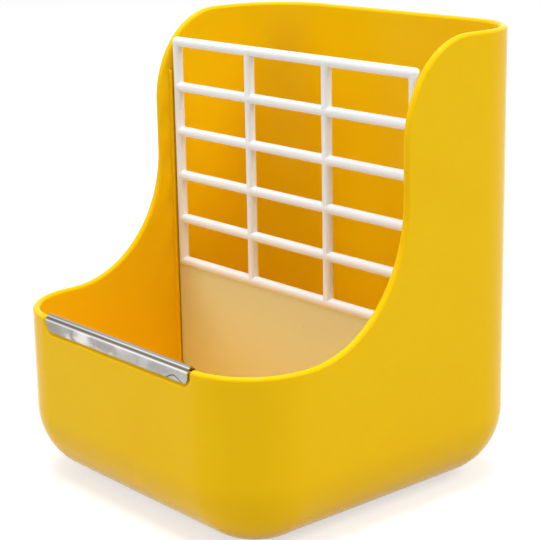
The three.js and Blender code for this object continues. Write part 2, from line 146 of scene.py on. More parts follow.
class Graph:
    """The nodes of one material or of the world."""

    def __init__(self, tree: bpy.types.NodeTree) -> None:
        """Empties a node tree and takes it over."""
        self.tree = tree
        tree.nodes.clear()

    def node(self, kind: str, settings: Settings, inputs: Inputs) -> bpy.types.Node:
        """Adds a node.

        Args:
            kind: The node's type.
            settings: Its properties, set first; stops are a ramp's (place, colour) pairs.
            inputs: Values or signals for its input sockets, by name or number.

        Returns:
            The node.
        """
        made = self.tree.nodes.new(kind)
        for name, value in settings.items():
            if name == "stops":
                self._set_stops(made, value)
            else:
                setattr(made, name, value)
        for key, value in inputs.items():
            if isinstance(value, Signal):
                self.tree.links.new(value.socket, made.inputs[key])
            else:
                made.inputs[key].default_value = value
        return made

    @staticmethod
    def _set_stops(ramp: bpy.types.Node, stops: Sequence[tuple[float, Colour]]) -> None:
        """Gives a colour ramp its stops.

        Args:
            ramp: A colour ramp node.
            stops: Places and colours, from left to right.
        """
        elements = ramp.color_ramp.elements
        while len(elements) < len(stops):
            elements.new(1.0)
        for element, (place, colour) in zip(elements, stops):
            element.position = place
            element.color = (*colour, 1.0)

    def signal(self, kind: str, settings: Settings, inputs: Inputs, output: str | int = 0) -> Signal:
        """One output, by name or number, of a node that it adds."""
        return Signal(self, self.node(kind, settings, inputs).outputs[output])

    def place(self, stretch: Triple = (1.0, 1.0, 1.0), turn: Triple = (0.0, 0.0, 0.0)) -> Signal:
        """Object coordinates, stretched and turned for a pattern.

        Args:
            stretch: How many times denser the pattern gets along each axis.
            turn: Rotation in degrees.

        Returns:
            The coordinates.
        """
        here = self.signal("ShaderNodeTexCoord", {}, {}, "Object")
        inputs = {"Vector": here, "Scale": stretch, "Rotation": tuple(math.radians(a) for a in turn)}
        return self.signal("ShaderNodeMapping", {}, inputs)

    def along(self, axis: str) -> Signal:
        """The object coordinate along an axis, in metres."""
        here = self.signal("ShaderNodeTexCoord", {}, {}, "Object")
        return self.signal("ShaderNodeSeparateXYZ", {}, {0: here}, axis)

    def cloud(self, scale: float, detail: float, where: Signal, distortion: float = 0.0) -> Signal:
        """Soft noise between 0 and 1, of so many waves in a metre and so many finer layers."""
        return self.signal("ShaderNodeTexNoise", {}, {
            "Vector": where, "Scale": scale, "Detail": detail, "Roughness": 0.5, "Distortion": distortion,
        })

    def cells(self, scale: float, output: str) -> Signal:
        """An output of a cell pattern with so many cells in a metre."""
        return self.signal("ShaderNodeTexVoronoi", {}, {"Vector": self.place(), "Scale": scale}, output)

    def specks(self, scale: float, reach: float) -> Signal:
        """1 on sparse round specks, whose reach is a share of their cells, and 0 beside them."""
        return 1 - self.cells(scale, "Distance").rise(reach * 0.5, reach)

    def hairlines(self, density: float, turn: Triple, cover: float) -> Signal:
        """1 on fine scratches that run one way, more of them with more cover, and 0 beside them."""
        line = self.cloud(density, 2.0, self.place((0.012, 1.0, 1.0), turn))
        return line.rise(0.74 - 0.2 * cover, 0.8 - 0.2 * cover)

    def blend(self, share: Signal | float, low: Colour | Signal, high: Colour | Signal) -> Signal:
        """Mixes two colours: a share of 0 gives the low one and 1 the high one."""
        ends = [end if isinstance(end, Signal) else (*end, 1.0) for end in (low, high)]
        return self.signal("ShaderNodeMix", {"data_type": "RGBA"}, {0: share, 6: ends[0], 7: ends[1]}, 2)

    def relief(self, depth_mm: float, height: Signal, under: Signal | None = None) -> Signal:
        """A bumped normal.

        Args:
            depth_mm: Depth of the relief for a height of 1.
            height: The relief.
            under: A normal that it lies on.

        Returns:
            The normal.
        """
        inputs: dict[str | int, object] = {"Strength": 1.0, "Distance": depth_mm * MM, "Height": height}
        if under is not None:
            inputs["Normal"] = under
        return self.signal("ShaderNodeBump", {}, inputs)

    def surface(self, inputs: Inputs) -> None:
        """Ends the graph in a Principled shader with these values or signals."""
        shader = self.signal("ShaderNodeBsdfPrincipled", {}, inputs)
        self.node("ShaderNodeOutputMaterial", {}, {"Surface": shader})


def new_material(name: str) -> tuple[bpy.types.Material, Graph]:
    """Makes an empty material.

    Args:
        name: The material's name.

    Returns:
        The material and its graph.
    """
    material = bpy.data.materials.new(name)
    material.use_nodes = True
    return material, Graph(material.node_tree)


@dataclass(frozen=True)
class MouldedPlastic:
    """Glossy moulded plastic with a soft ripple in its gloss and a few hair scuffs."""

    name: str
    slot: str
    colour: Colour
    deep_colour: Colour
    roughness: float
    gloss: float
    speck_colour: Colour
    speck_share: float

    def _body(self, graph: Graph, flow: Signal) -> Signal:
        """The plastic's own colour, with the slow waves that the melt left."""
        return graph.blend(flow.rise(0.35, 0.7), self.colour, self.deep_colour)

    def material(self) -> bpy.types.Material:
        """Makes the material.

        Returns:
            The finished material.
        """
        material, graph = new_material(self.name)
        flow = graph.cloud(22.0, 2.0, graph.place(), 0.6)
        ripple = graph.cloud(60.0, 1.0, graph.place((1.0, 1.0, 0.45)))
        grain = graph.cloud(2600.0, 3.0, graph.place())
        scuffs = graph.hairlines(1500.0, (8.0, 24.0, 37.0), 0.35).most(
            graph.hairlines(1900.0, (64.0, -31.0, 118.0), 0.3)
        )
        specks = graph.specks(210.0, 0.055)
        colour = graph.blend(specks * self.speck_share, self._body(graph, flow), self.speck_colour)
        roughness = self.roughness + 0.07 * (flow - 0.5) + 0.05 * (grain - 0.5) + 0.12 * scuffs
        low = graph.relief(0.035, ripple)
        normal = graph.relief(0.0035, grain - 0.5 * scuffs, low)
        graph.surface({
            "Base Color": colour, "Roughness": roughness, "Normal": normal,
            "Specular IOR Level": self.gloss, "IOR": 1.49,
        })
        return material


@dataclass(frozen=True)
class PaintedBounceFootPlastic(MouldedPlastic):
    """Moulded plastic with painted yellow bounce light in its plain lower part, which turns it creamy."""

    # Painted light: the yellow light that the walls bounce onto the lower part
    painted_bounce_colour: Colour
    painted_bounce_top: float
    painted_bounce_fade: float = 0.5

    def _body(self, graph: Graph, flow: Signal) -> Signal:
        """The plastic's own colour, with the painted bounce light below."""
        high = graph.along("Z").rise((self.painted_bounce_top - self.painted_bounce_fade) * MM, self.painted_bounce_top * MM)
        return graph.blend(high, self.painted_bounce_colour, super()._body(graph, flow))


@dataclass(frozen=True)
class RolledSteel:
    """Bright stainless strip: painted reflections along its folds, handling smears and scratches."""

    name: str = "rolled_stainless"
    slot: str = "stainless_sheet"
    # The colours between which the painted reflections and the smears run
    dark_colour: Colour = (0.05, 0.045, 0.04)
    bright_colour: Colour = (0.96, 0.93, 0.88)
    roughness: float = 0.17
    reach: float = 43.7
    low: float = 62.6
    high: float = 68.9
    bend: float = 67.1
    # Painted reflections along the folds, as (height, brightness) pairs
    painted_reflection_bands: tuple[Point, ...] = (
        (62.6, 0.2), (63.0, 0.3), (64.8, 0.27), (66.3, 0.3), (66.7, 0.45), (66.95, 0.95), (67.2, 0.8),
        (67.4, 0.3), (67.55, 0.15), (67.95, 0.16), (68.1, 0.35), (68.25, 0.9), (68.45, 0.8), (68.6, 0.42),
        (68.9, 0.4),
    )
    # Where the painted dark reflection of a crinkle runs
    crinkle_lift: float = 0.7
    crinkle_height: float = 1.0
    crinkle_turn: float = 523.0
    crinkle_middle: float = 33.0
    crinkle_core: float = 0.14
    crinkle_edge: float = 0.38
    crinkle_span: tuple[float, float, float, float] = (25.0, 32.0, 41.5, 42.5)
    smear_start: Point = (-38.0, -26.0)
    smear_end: Point = (-8.0, 14.0)
    smear_foot: float = 0.5
    smear_fade: float = 0.75
    smear_share: float = 0.4
    # How much darker the painted reflections get towards the left end
    left_darkening_share: float = 0.25
    # How strongly the painted crinkle reflection darkens the colour
    painted_crinkle_darkness: float = 0.85

    def _painted_fold_reflections(self, graph: Graph) -> Signal:
        """Painted reflections: how bright the strip is at each height of its folds.

        Args:
            graph: The material's graph.

        Returns:
            The brightness, from 0 to 1.
        """
        tall = self.high - self.low
        stops = [((z - self.low) / tall, (level, level, level)) for z, level in self.painted_reflection_bands]
        height = graph.along("Z").share(self.low * MM, self.high * MM)
        return graph.signal("ShaderNodeValToRGB", {"stops": stops}, {0: height})

    def _painted_crinkle_reflection(self, graph: Graph) -> Signal:
        """1 on the painted dark reflection of a crinkle, a wavy line near the right end, and 0 beside it.

        Args:
            graph: The material's graph.

        Returns:
            The mask.
        """
        x = graph.along("X")
        swing = (self.crinkle_turn * (x - self.crinkle_middle * MM)).sine()
        gap = graph.along("Z") - ((self.low + self.crinkle_lift) * MM + self.crinkle_height * MM * swing)
        line = 1 - gap.most(0 - gap).rise(self.crinkle_core * MM, self.crinkle_edge * MM)
        start, full, late, end = (place * MM for place in self.crinkle_span)
        return line * x.rise(start, full) * (1 - x.rise(late, end))

    def _smears(self, graph: Graph) -> Signal:
        """Cloudy white smears on the left part of the front flange.

        Args:
            graph: The material's graph.

        Returns:
            The mask.
        """
        x = graph.along("X")
        cloud = graph.cloud(110.0, 3.0, graph.place((0.8, 1.0, 1.3)), 0.5).rise(0.38, 0.66)
        flange = 1 - graph.along("Z").rise((self.bend - self.smear_foot) * MM, self.bend * MM)
        start, end = (x.rise(low * MM, high * MM) for low, high in (self.smear_start, self.smear_end))
        return cloud * flange * start * (1 - self.smear_fade * end)

    def material(self) -> bpy.types.Material:
        """Makes the material.

        Returns:
            The finished material.
        """
        material, graph = new_material(self.name)
        smears = self._smears(graph)
        dents = graph.cloud(120.0, 1.0, graph.place((1.0, 1.0, 1.4)), 1.4)
        rolling = graph.cloud(5200.0, 2.0, graph.place((0.006, 1.0, 1.0)))
        scratches = graph.hairlines(2600.0, (0.0, 0.0, 0.0), 0.4).most(
            graph.hairlines(1700.0, (0.0, 28.0, 6.0), 0.25)
        )
        # The painted reflections get darker towards the strip's left end
        bright_end = graph.along("X").rise(-self.reach * MM, self.reach * 0.4 * MM)
        left_darkening = (1 - self.left_darkening_share) + self.left_darkening_share * bright_end
        # Painted reflection: the crinkle's dark wavy line darkens the colour
        clear = 1 - self.painted_crinkle_darkness * self._painted_crinkle_reflection(graph)
        level = (self._painted_fold_reflections(graph) * left_darkening + self.smear_share * smears) * clear
        colour = graph.blend(level, self.dark_colour, self.bright_colour)
        roughness = self.roughness + 0.2 * smears + 0.08 * (rolling - 0.5) + 0.15 * scratches
        low = graph.relief(0.05, dents)
        normal = graph.relief(0.004, rolling - 0.6 * scratches, low)
        graph.surface({"Base Color": colour, "Metallic": 1.0, "Roughness": roughness, "Normal": normal})
        return material


@dataclass(frozen=True)
class ZincPlate:
    """Bright zinc plating: mottled, with worn high spots."""

    name: str = "zinc_plating"
    slot: str = "zinc_plate"
    colour: Colour = (0.50, 0.51, 0.53)
    dull_colour: Colour = (0.36, 0.37, 0.38)
    roughness: float = 0.3

    def material(self) -> bpy.types.Material:
        """Makes the material.

        Returns:
            The finished material.
        """
        material, graph = new_material(self.name)
        mottle = graph.cloud(420.0, 4.0, graph.place(), 0.7)
        facet = graph.signal("ShaderNodeSeparateColor", {}, {0: graph.cells(900.0, "Color")}, 0)
        grain = graph.cloud(6000.0, 2.0, graph.place())
        colour = graph.blend(mottle.rise(0.4, 0.68), self.colour, self.dull_colour)
        roughness = self.roughness + 0.2 * (mottle - 0.5) + 0.06 * (facet - 0.5)
        normal = graph.relief(0.004, 0.4 * facet + grain)
        graph.surface({"Base Color": colour, "Metallic": 1.0, "Roughness": roughness, "Normal": normal})
        return material


Finish = MouldedPlastic | RolledSteel | ZincPlate

YELLOW = MouldedPlastic(
    name="yellow_moulding", slot="yellow_plastic",
    colour=(0.985, 0.60, 0.003), deep_colour=(0.98, 0.58, 0.003), roughness=0.16, gloss=0.05,
    speck_colour=(0.55, 0.28, 0.01), speck_share=0.25,
)
WHITE = PaintedBounceFootPlastic(
    name="white_moulding", slot="white_plastic",
    colour=(0.925, 0.955, 0.97), deep_colour=(0.915, 0.945, 0.95), roughness=0.34, gloss=0.10,
    speck_colour=(0.30, 0.24, 0.18), speck_share=0.5,
    # Painted light: cream below this height stands for yellow light bounced off the walls
    painted_bounce_colour=(0.80, 0.775, 0.43), painted_bounce_top=68.8,
)
STAINLESS = RolledSteel()
ZINC = ZincPlate()


# Meshes


class Affect(Enum):
    """What a bevel rounds."""

    EDGES = "EDGES"
    CORNERS = "VERTICES"


class Form:
    """A shape in millimetres that mesh operators build up."""

    def __init__(self) -> None:
        """Starts empty."""
        self.bm = bmesh.new()

    def vertices(self, test: Callable[[Vector], bool]) -> list[Vertex]:
        """The vertices whose place passes a test."""
        return [v for v in self.bm.verts if test(v.co)]

    def edges(self, test: Callable[[Vector], bool]) -> list[Edge]:
        """The edges that have both ends pass a test."""
        return [e for e in self.bm.edges if all(test(v.co) for v in e.verts)]

    def faces(self, test: Callable[[Vector], bool]) -> list[Face]:
        """The faces whose corners all pass a test."""
        return [f for f in self.bm.faces if all(test(v.co) for v in f.verts)]

    def outline(self) -> list[Edge]:
        """The edges where the shape turns sharply."""
        return [e for e in self.bm.edges if e.calc_face_angle(0.0) > SHARP_TURN]

    def open_edges(self) -> list[Edge]:
        """The edges that have a face on one side only."""
        return [e for e in self.bm.edges if e.is_boundary]

    def line(self, places: Iterable[Sequence[float]]) -> tuple[list[Vertex], list[Edge]]:
        """Adds a chain of edges through some places and returns its vertices and edges."""
        points = [self.bm.verts.new(place) for place in places]
        return points, [self.bm.edges.new(pair) for pair in zip(points, points[1:])]

    def draw(self, parts: Sequence[Edge] | Sequence[Face], way: Sequence[float]) -> None:
        """Extrudes edges or faces.

        Args:
            parts: What is extruded.
            way: How far the new end is moved.
        """
        if isinstance(parts[0], Edge):
            made = bmesh.ops.extrude_edge_only(self.bm, edges=parts)["geom"]
        else:
            made = bmesh.ops.extrude_face_region(self.bm, geom=parts)["geom"]
        end = [g for g in made if isinstance(g, Vertex)]
        bmesh.ops.translate(self.bm, verts=end, vec=way)

    def bevel(
        self, geometry: Iterable[Vertex | Edge], offset: float, segments: int, affect: Affect = Affect.EDGES,
    ) -> None:
        """Rounds edges or corners.

        Args:
            geometry: What is rounded.
            offset: How far the rounding reaches.
            segments: How many facets it gets.
            affect: Whether edges or corners are rounded.
        """
        bmesh.ops.bevel(
            self.bm, geom=list(geometry), offset=offset, offset_type="OFFSET", segments=segments,
            profile=0.5, affect=affect.value, clamp_overlap=False, loop_slide=True, material=-1,
        )

    def slice(self, faces: Iterable[Face], centre: Vector, normal: Vector, clear: bool = False) -> None:
        """Cuts faces along a plane.

        Args:
            faces: The faces that are cut.
            centre: A point of the plane.
            normal: The plane's normal.
            clear: Whether what lies behind the plane is taken away.
        """
        whole = list(faces)
        geometry = {*whole, *(e for f in whole for e in f.edges), *(v for f in whole for v in f.verts)}
        bmesh.ops.bisect_plane(
            self.bm, geom=list(geometry), dist=1e-5, plane_co=centre, plane_no=normal, clear_inner=clear,
        )

    def lathe(self, profile: Sequence[Point], centre: Vector, steps: int) -> None:
        """Turns a profile about the line through the centre that runs along Y.

        Args:
            profile: Places as (radius, y), from one end of the shape to the other.
            centre: A point of the axis.
            steps: How many facets go round.
        """
        points, lines = self.line((centre.x + radius, y, centre.z) for radius, y in profile)
        bmesh.ops.spin(
            self.bm, geom=points + lines, cent=centre, axis=ALONG_Y, angle=2 * math.pi,
            steps=steps, use_merge=True, dvec=(0.0, 0.0, 0.0),
        )

    def face_out(self) -> None:
        """Turns every face outwards."""
        bmesh.ops.recalc_face_normals(self.bm, faces=self.bm.faces[:])

    def seal(self, gap: float = 2 * NEAR) -> None:
        """Merges vertices closer than the gap and turns every face outwards."""
        bmesh.ops.remove_doubles(self.bm, verts=self.bm.verts[:], dist=gap)
        self.face_out()

    def take(self, other: "Form") -> None:
        """Adds another form's mesh and empties that form.

        Args:
            other: The form that is used up.
        """
        mesh = bpy.data.meshes.new("taken")
        other.bm.to_mesh(mesh)
        other.bm.free()
        self.bm.from_mesh(mesh)
        bpy.data.meshes.remove(mesh)

    def carve(self, cutter: "Form") -> None:
        """Cuts another closed form away.

        Args:
            cutter: The form that is cut away and used up.
        """
        block, tool = (bpy.data.meshes.new(name) for name in ("block", "tool"))
        self.bm.to_mesh(block)
        cutter.bm.to_mesh(tool)
        cutter.bm.free()
        holders = [add_object(mesh.name, mesh) for mesh in (block, tool)]
        cut = holders[0].modifiers.new("cut", "BOOLEAN")
        cut.operation = "DIFFERENCE"
        cut.solver = "EXACT"
        cut.object = holders[1]
        ready = holders[0].evaluated_get(bpy.context.evaluated_depsgraph_get())
        result = bpy.data.meshes.new_from_object(ready)
        self.bm.clear()
        self.bm.from_mesh(result)
        for holder in holders:
            bpy.data.objects.remove(holder)
        for mesh in (block, tool, result):
            bpy.data.meshes.remove(mesh)

    def finish(
        self, name: str, body: str, node: str, finish: Finish, crease: float = 38.0,
    ) -> bpy.types.Object:
        """Makes the form a named piece in metres, on its body and in place of its node.

        Args:
            name: The piece's name.
            body: The body that it rides on.
            node: The node that it stands for.
            finish: Its surface.
            crease: Edges that turn by more than this many degrees stay crisp.

        Returns:
            The piece, at the origin, with its place in its mesh.
        """
        bmesh.ops.scale(self.bm, verts=self.bm.verts[:], vec=(MM, MM, MM))
        mesh = bpy.data.meshes.new(name)
        self.bm.to_mesh(mesh)
        self.bm.free()
        mesh.materials.append(shared_material(finish))
        mesh.shade_smooth()
        mesh.set_sharp_from_angle(angle=math.radians(crease))
        piece = add_object(name, mesh)
        weights = piece.modifiers.new("face weights", "WEIGHTED_NORMAL")
        weights.keep_sharp = True
        register(piece, body, node)
        return piece


def add_object(name: str, data: bpy.types.ID) -> bpy.types.Object:
    """Puts a new object into the scene.

    Args:
        name: Its name.
        data: Its mesh, lamp or camera.

    Returns:
        The object.
    """
    made = bpy.data.objects.new(name, data)
    bpy.context.scene.collection.objects.link(made)
    return made


def shared_material(finish: Finish) -> bpy.types.Material:
    """The one material of a finish, made the first time that it is asked for."""
    return bpy.data.materials.get(finish.name) or finish.material()


def register(piece: bpy.types.Object, body: str, node: str) -> None:
    """Hangs a piece on its body in place of its node and reports it.

    Args:
        piece: The finished piece.
        body: The body that it rides on.
        node: The node that it stands for.
    """
    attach(piece, body)
    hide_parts(node)
    low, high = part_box(node)
    corners = [Vector(c) for c in piece.bound_box]
    least = Vector([min(c[i] for c in corners) for i in range(3)])
    most = Vector([max(c[i] for c in corners) for i in range(3)])
    proud = max(0.0, *(low - least), *(most - high)) / MM
    log.info("%s: %d faces, proud of its node by %.2f mm", piece.name, len(piece.data.polygons), proud)


# Sub-assemblies


@dataclass
class Housing:
    """The one-piece yellow moulding."""

    width: float = 146.0
    depth: float = 145.8
    height: float = 175.0
    wall: float = 3.0
    plan_radius: float = 28.8
    base_radius: float = 27.8
    skirt: float = 60.0
    front_rim: float = 68.0
    rim_radius: float = 1.4
    rim_round: float = 1.46
    rim_facets: int = 8
    corner_facets: int = 24
    base_facets: int = 16
    sweep_facets: int = 110
    level_end: float = -41.6
    upright_y: float = 5.4
    upright_top: float = 138.2
    upright_length: float = 19.3
    shoulder_run: float = 30.4
    pocket_half: float = 45.2
    pocket_foot: float = 61.1
    pocket_radius: float = 4.5
    pocket_depth: float = 1.0
    lip_drop: float = 0.9
    pocket_zone: float = 55.0
    pocket_blend: Point = (-0.95, 0.3)
    lip_blend_x: Point = (-0.9, 0.4)
    lip_blend_z: Point = (-2.6, -1.2)
    grid_step: float = 0.34
    grid_side: float = 1.8
    grid_foot: float = 1.6
    grid_crown: float = 0.2
    grid_overrun: float = 3.0
    grid_floor: float = 20.0
    coarse_marks: tuple[float, ...] = (30.0, 20.0, 10.0, 0.0)
    both_skins: float = -60.0
    outer_skin: float = -72.6
    rib_front: float = 9.95
    rib_back: float = 14.3
    rib_reach: float = 1.0
    rib_drop: float = 9.0
    rib_width: float = 1.6
    rib_foot: float = 19.3
    rib_root: float = 1.0
    rib_crown: float = 0.8
    rib_facets: int = 24
    bolt_x: float = 30.0
    bolt_z: float = 39.0
    hole_radius: float = 3.3
    hole_facets: int = 32
    hole_edge: float = 0.25
    patch_share: float = 2.2
    line_steps: int = 240
    form: Form = field(init=False)

    def _centre_line(self) -> list[Vector]:
        """The rim's centre line on a side wall.

        Returns:
            Points as (y, z), from the front to the back.
        """
        front_z = self.front_rim - self.rim_radius
        top_z = self.height - self.rim_radius
        foot_z = self.upright_top - self.upright_length
        flat = self.depth / 2 - self.plan_radius
        turns = [math.pi / 2 * i / self.line_steps for i in range(self.line_steps + 1)]
        line = [Vector((-flat, front_z)), Vector((self.level_end, front_z))]
        for turn in turns[1:]:
            line.append(Vector((
                self.level_end + (self.upright_y - self.level_end) * math.sin(turn),
                foot_z - (foot_z - front_z) * math.cos(turn),
            )))
        for turn in turns:
            line.append(Vector((
                self.upright_y + self.shoulder_run * (1 - math.cos(turn)),
                self.upright_top + (top_z - self.upright_top) * math.sin(turn),
            )))
        line.append(Vector((flat, top_z)))
        return line

    def _crest(self) -> list[Vector]:
        """The crest of the rim on a side wall, in even steps.

        Returns:
            Points as (y, z), one for each vertex of the wall's top edge.
        """
        line = self._centre_line()
        raised = []
        for i, point in enumerate(line):
            ahead = line[min(i + 1, len(line) - 1)] - line[max(i - 1, 0)]
            normal = Vector((-ahead.y, ahead.x)).normalized()
            raised.append(point + normal * self.rim_radius)
        lengths = [0.0]
        for a, b in zip(raised, raised[1:]):
            lengths.append(lengths[-1] + (b - a).length)
        crest = []
        k = 0
        for i in range(self.sweep_facets + 1):
            goal = lengths[-1] * i / self.sweep_facets
            while k + 2 < len(lengths) and lengths[k + 1] < goal:
                k += 1
            share = (goal - lengths[k]) / (lengths[k + 1] - lengths[k])
            crest.append(raised[k].lerp(raised[k + 1], min(1.0, share)))
        return crest

    def _skin(self, inset: float) -> Form:
        """Makes one skin of the wall, open at the top.

        Args:
            inset: How far the skin lies inside the outer face.

        Returns:
            The skin.
        """
        form = Form()
        bm = form.bm
        half_x, half_y = self.width / 2 - inset, self.depth / 2 - inset
        corners = bmesh.ops.create_grid(bm, x_segments=1, y_segments=1, size=1.0)["verts"]
        bmesh.ops.scale(bm, verts=corners, vec=(half_x, half_y, 1.0))
        bmesh.ops.translate(bm, verts=corners, vec=(0.0, 0.0, inset))
        form.bevel(corners, self.plan_radius - inset, self.corner_facets, Affect.CORNERS)
        form.draw(bm.edges[:], (0.0, 0.0, self.skirt - inset))
        foot = form.edges(lambda p: abs(p.z - inset) < NEAR)
        form.bevel(foot, self.base_radius - inset, self.base_facets)
        sides = form.edges(lambda p: abs(p.z - self.skirt) < NEAR and abs(abs(p.x) - half_x) < NEAR)
        bmesh.ops.subdivide_edges(bm, edges=sides, cuts=self.sweep_facets - 1, use_grid_fill=False)
        self._raise_crown(form, half_x)
        return form

    def _raise_crown(self, form: Form, half_x: float) -> None:
        """Moves a skin's top loop up to the crest of the rim.

        Args:
            form: The skin.
            half_x: Half the skin's width.
        """
        crest = self._crest()
        flat = self.depth / 2 - self.plan_radius
        crown = form.vertices(lambda p: abs(p.z - self.skirt) < NEAR)
        for side in (-1, 1):
            wall = sorted(
                (v for v in crown if abs(v.co.x - side * half_x) < NEAR and abs(v.co.y) < flat + NEAR),
                key=lambda v: v.co.y,
            )
            for vertex, place in zip(wall, crest, strict=True):
                vertex.co = (vertex.co.x, place.x, place.y)
        for vertex in crown:
            if abs(vertex.co.z - self.skirt) < NEAR:
                vertex.co.z = self.front_rim if vertex.co.y < 0 else self.height

    def _mouth(self, centre: Vector) -> list[Edge]:
        """Opens one skin of the back wall round a bolt hole.

        Args:
            centre: The hole's centre on that skin.

        Returns:
            The edges of the round opening.
        """
        form, bm = self.form, self.form.bm

        def on_skin(p: Vector) -> bool:
            """Whether a point lies on this skin."""
            return abs(p.y - centre.y) < NEAR

        def patch() -> Face:
            """The face of this skin round the hole's centre."""
            return min(form.faces(on_skin), key=lambda f: (f.calc_center_median() - centre).length)

        half = self.patch_share * self.hole_radius
        for axis in (ALONG_X, ALONG_Z):
            for way in (-half, half):
                form.slice(form.faces(on_skin), centre + axis * way, axis)
        bmesh.ops.subdivide_edges(bm, edges=list(patch().edges), cuts=self.hole_facets // 4 - 1)
        opened = patch()
        outer = list(opened.edges)
        bmesh.ops.delete(bm, geom=[opened], context="FACES_ONLY")
        ring = bmesh.ops.create_circle(
            bm, cap_ends=False, segments=self.hole_facets, radius=self.hole_radius,
            matrix=Matrix.Translation(centre) @ FACING_Y,
        )["verts"]
        mouth = list({e for v in ring for e in v.link_edges})
        bmesh.ops.bridge_loops(bm, edges=outer + mouth)
        return mouth

    def _pierce(self, side: int) -> None:
        """Makes a bolt hole through both skins of the back wall.

        Args:
            side: -1 for the left hole and 1 for the right hole.
        """
        mouths = []
        for level in (self.depth / 2, self.depth / 2 - self.wall):
            mouths += self._mouth(Vector((side * self.bolt_x, level, self.bolt_z)))
        bmesh.ops.bridge_loops(self.form.bm, edges=mouths)
        self.form.face_out()
        self.form.bevel(mouths, self.hole_edge, CHAMFER_FACETS)

    def _grid_front(self) -> None:
        """Cuts a fine grid into the front wall where the pocket's edge will run."""
        form = self.form
        reach = self.pocket_half + self.grid_side
        near = math.ceil((self.pocket_radius + self.grid_overrun) / self.grid_step)
        marks = [reach - i * self.grid_step for i in range(near)] + list(self.coarse_marks)

        def front(behind: float) -> list[Face]:
            """The faces of the front wall's upper part that lie before a depth."""
            side = reach + self.grid_overrun
            return form.faces(lambda p: p.y < behind and abs(p.x) < side and p.z > self.grid_floor)

        for x in sorted({sign * mark for mark in marks for sign in (-1, 1)}):
            form.slice(front(self.both_skins), ALONG_X * x, ALONG_X)
        z = self.pocket_foot - self.grid_foot
        while z < self.front_rim - self.rim_round - self.grid_crown:
            form.slice(front(self.outer_skin), ALONG_Z * z, ALONG_Z)
            z += self.grid_step

    def _sink_pocket(self) -> None:
        """Presses the guard's pocket into the front face and lowers the lip under the fold."""
        front = -self.depth / 2
        half = self.pocket_half
        for vertex in self.form.vertices(lambda p: p.y < self.both_skins and p.z > self.pocket_zone):
            x, y, z = abs(vertex.co.x), vertex.co.y, vertex.co.z
            reach_x = x - (half - self.pocket_radius)
            reach_z = self.pocket_foot + self.pocket_radius - z
            beyond = math.hypot(max(reach_x, 0.0), max(reach_z, 0.0))
            edge = beyond + min(max(reach_x, reach_z), 0.0) - self.pocket_radius
            depth = self.pocket_depth * (1 - smooth(*self.pocket_blend, edge))
            vertex.co.y += depth * (1 - smooth(front, front + self.rim_round, y))
            under = 1 - smooth(*(half + step for step in self.lip_blend_x), x)
            crown = smooth(*(self.front_rim + step for step in self.lip_blend_z), z)
            vertex.co.z -= self.lip_drop * under * crown

    def _add_ribs(self) -> None:
        """Adds the four guide ribs, each a half-round bar let into its side wall."""
        crest = self._crest()
        nose = self.rib_width / 2
        inner = self.width / 2 - self.wall
        for y in (self.rib_front, self.rib_back):
            top = min(crest, key=lambda p: abs(p.x - y)).y - self.rib_drop
            for side in (-1, 1):
                rib = Form()
                made = bmesh.ops.create_cone(
                    rib.bm, cap_ends=True, segments=self.rib_facets, radius1=nose, radius2=nose,
                    depth=top - self.rib_foot,
                )["verts"]
                bmesh.ops.translate(rib.bm, verts=made, vec=(0.0, 0.0, (top + self.rib_foot) / 2))
                rib.slice(rib.bm.faces[:], Vector(), ALONG_X, clear=True)
                rib.draw(rib.open_edges(), (nose - self.rib_reach - self.rib_root, 0.0, 0.0))
                bmesh.ops.holes_fill(rib.bm, edges=rib.open_edges(), sides=0)
                crown = rib.edges(lambda p, z=top: abs(p.z - z) < NEAR)
                rib.bevel(crown, nose * self.rib_crown, ROUND_FACETS)
                place = (self.rib_reach - nose - inner, y, 0.0)
                bmesh.ops.translate(rib.bm, verts=rib.bm.verts[:], vec=place)
                if side > 0:
                    bmesh.ops.scale(rib.bm, verts=rib.bm.verts[:], vec=(-1.0, 1.0, 1.0))
                rib.face_out()
                self.form.take(rib)

    def build(self) -> None:
        """Makes the housing."""
        form = self.form = self._skin(0.0)
        form.take(self._skin(self.wall))
        for face in bmesh.ops.bridge_loops(form.bm, edges=form.open_edges())["faces"]:
            face.material_index = 1
        form.face_out()
        self._grid_front()
        rim_edges = [e for e in form.bm.edges if len({f.material_index for f in e.link_faces}) > 1]
        for face in form.bm.faces:
            face.material_index = 0
        form.bevel(rim_edges, self.rim_round, self.rim_facets)
        for side in (-1, 1):
            self._pierce(side)
        form.seal()
        self._sink_pocket()
        self._add_ribs()
        form.finish("housing_shell", "body", "housing", YELLOW)


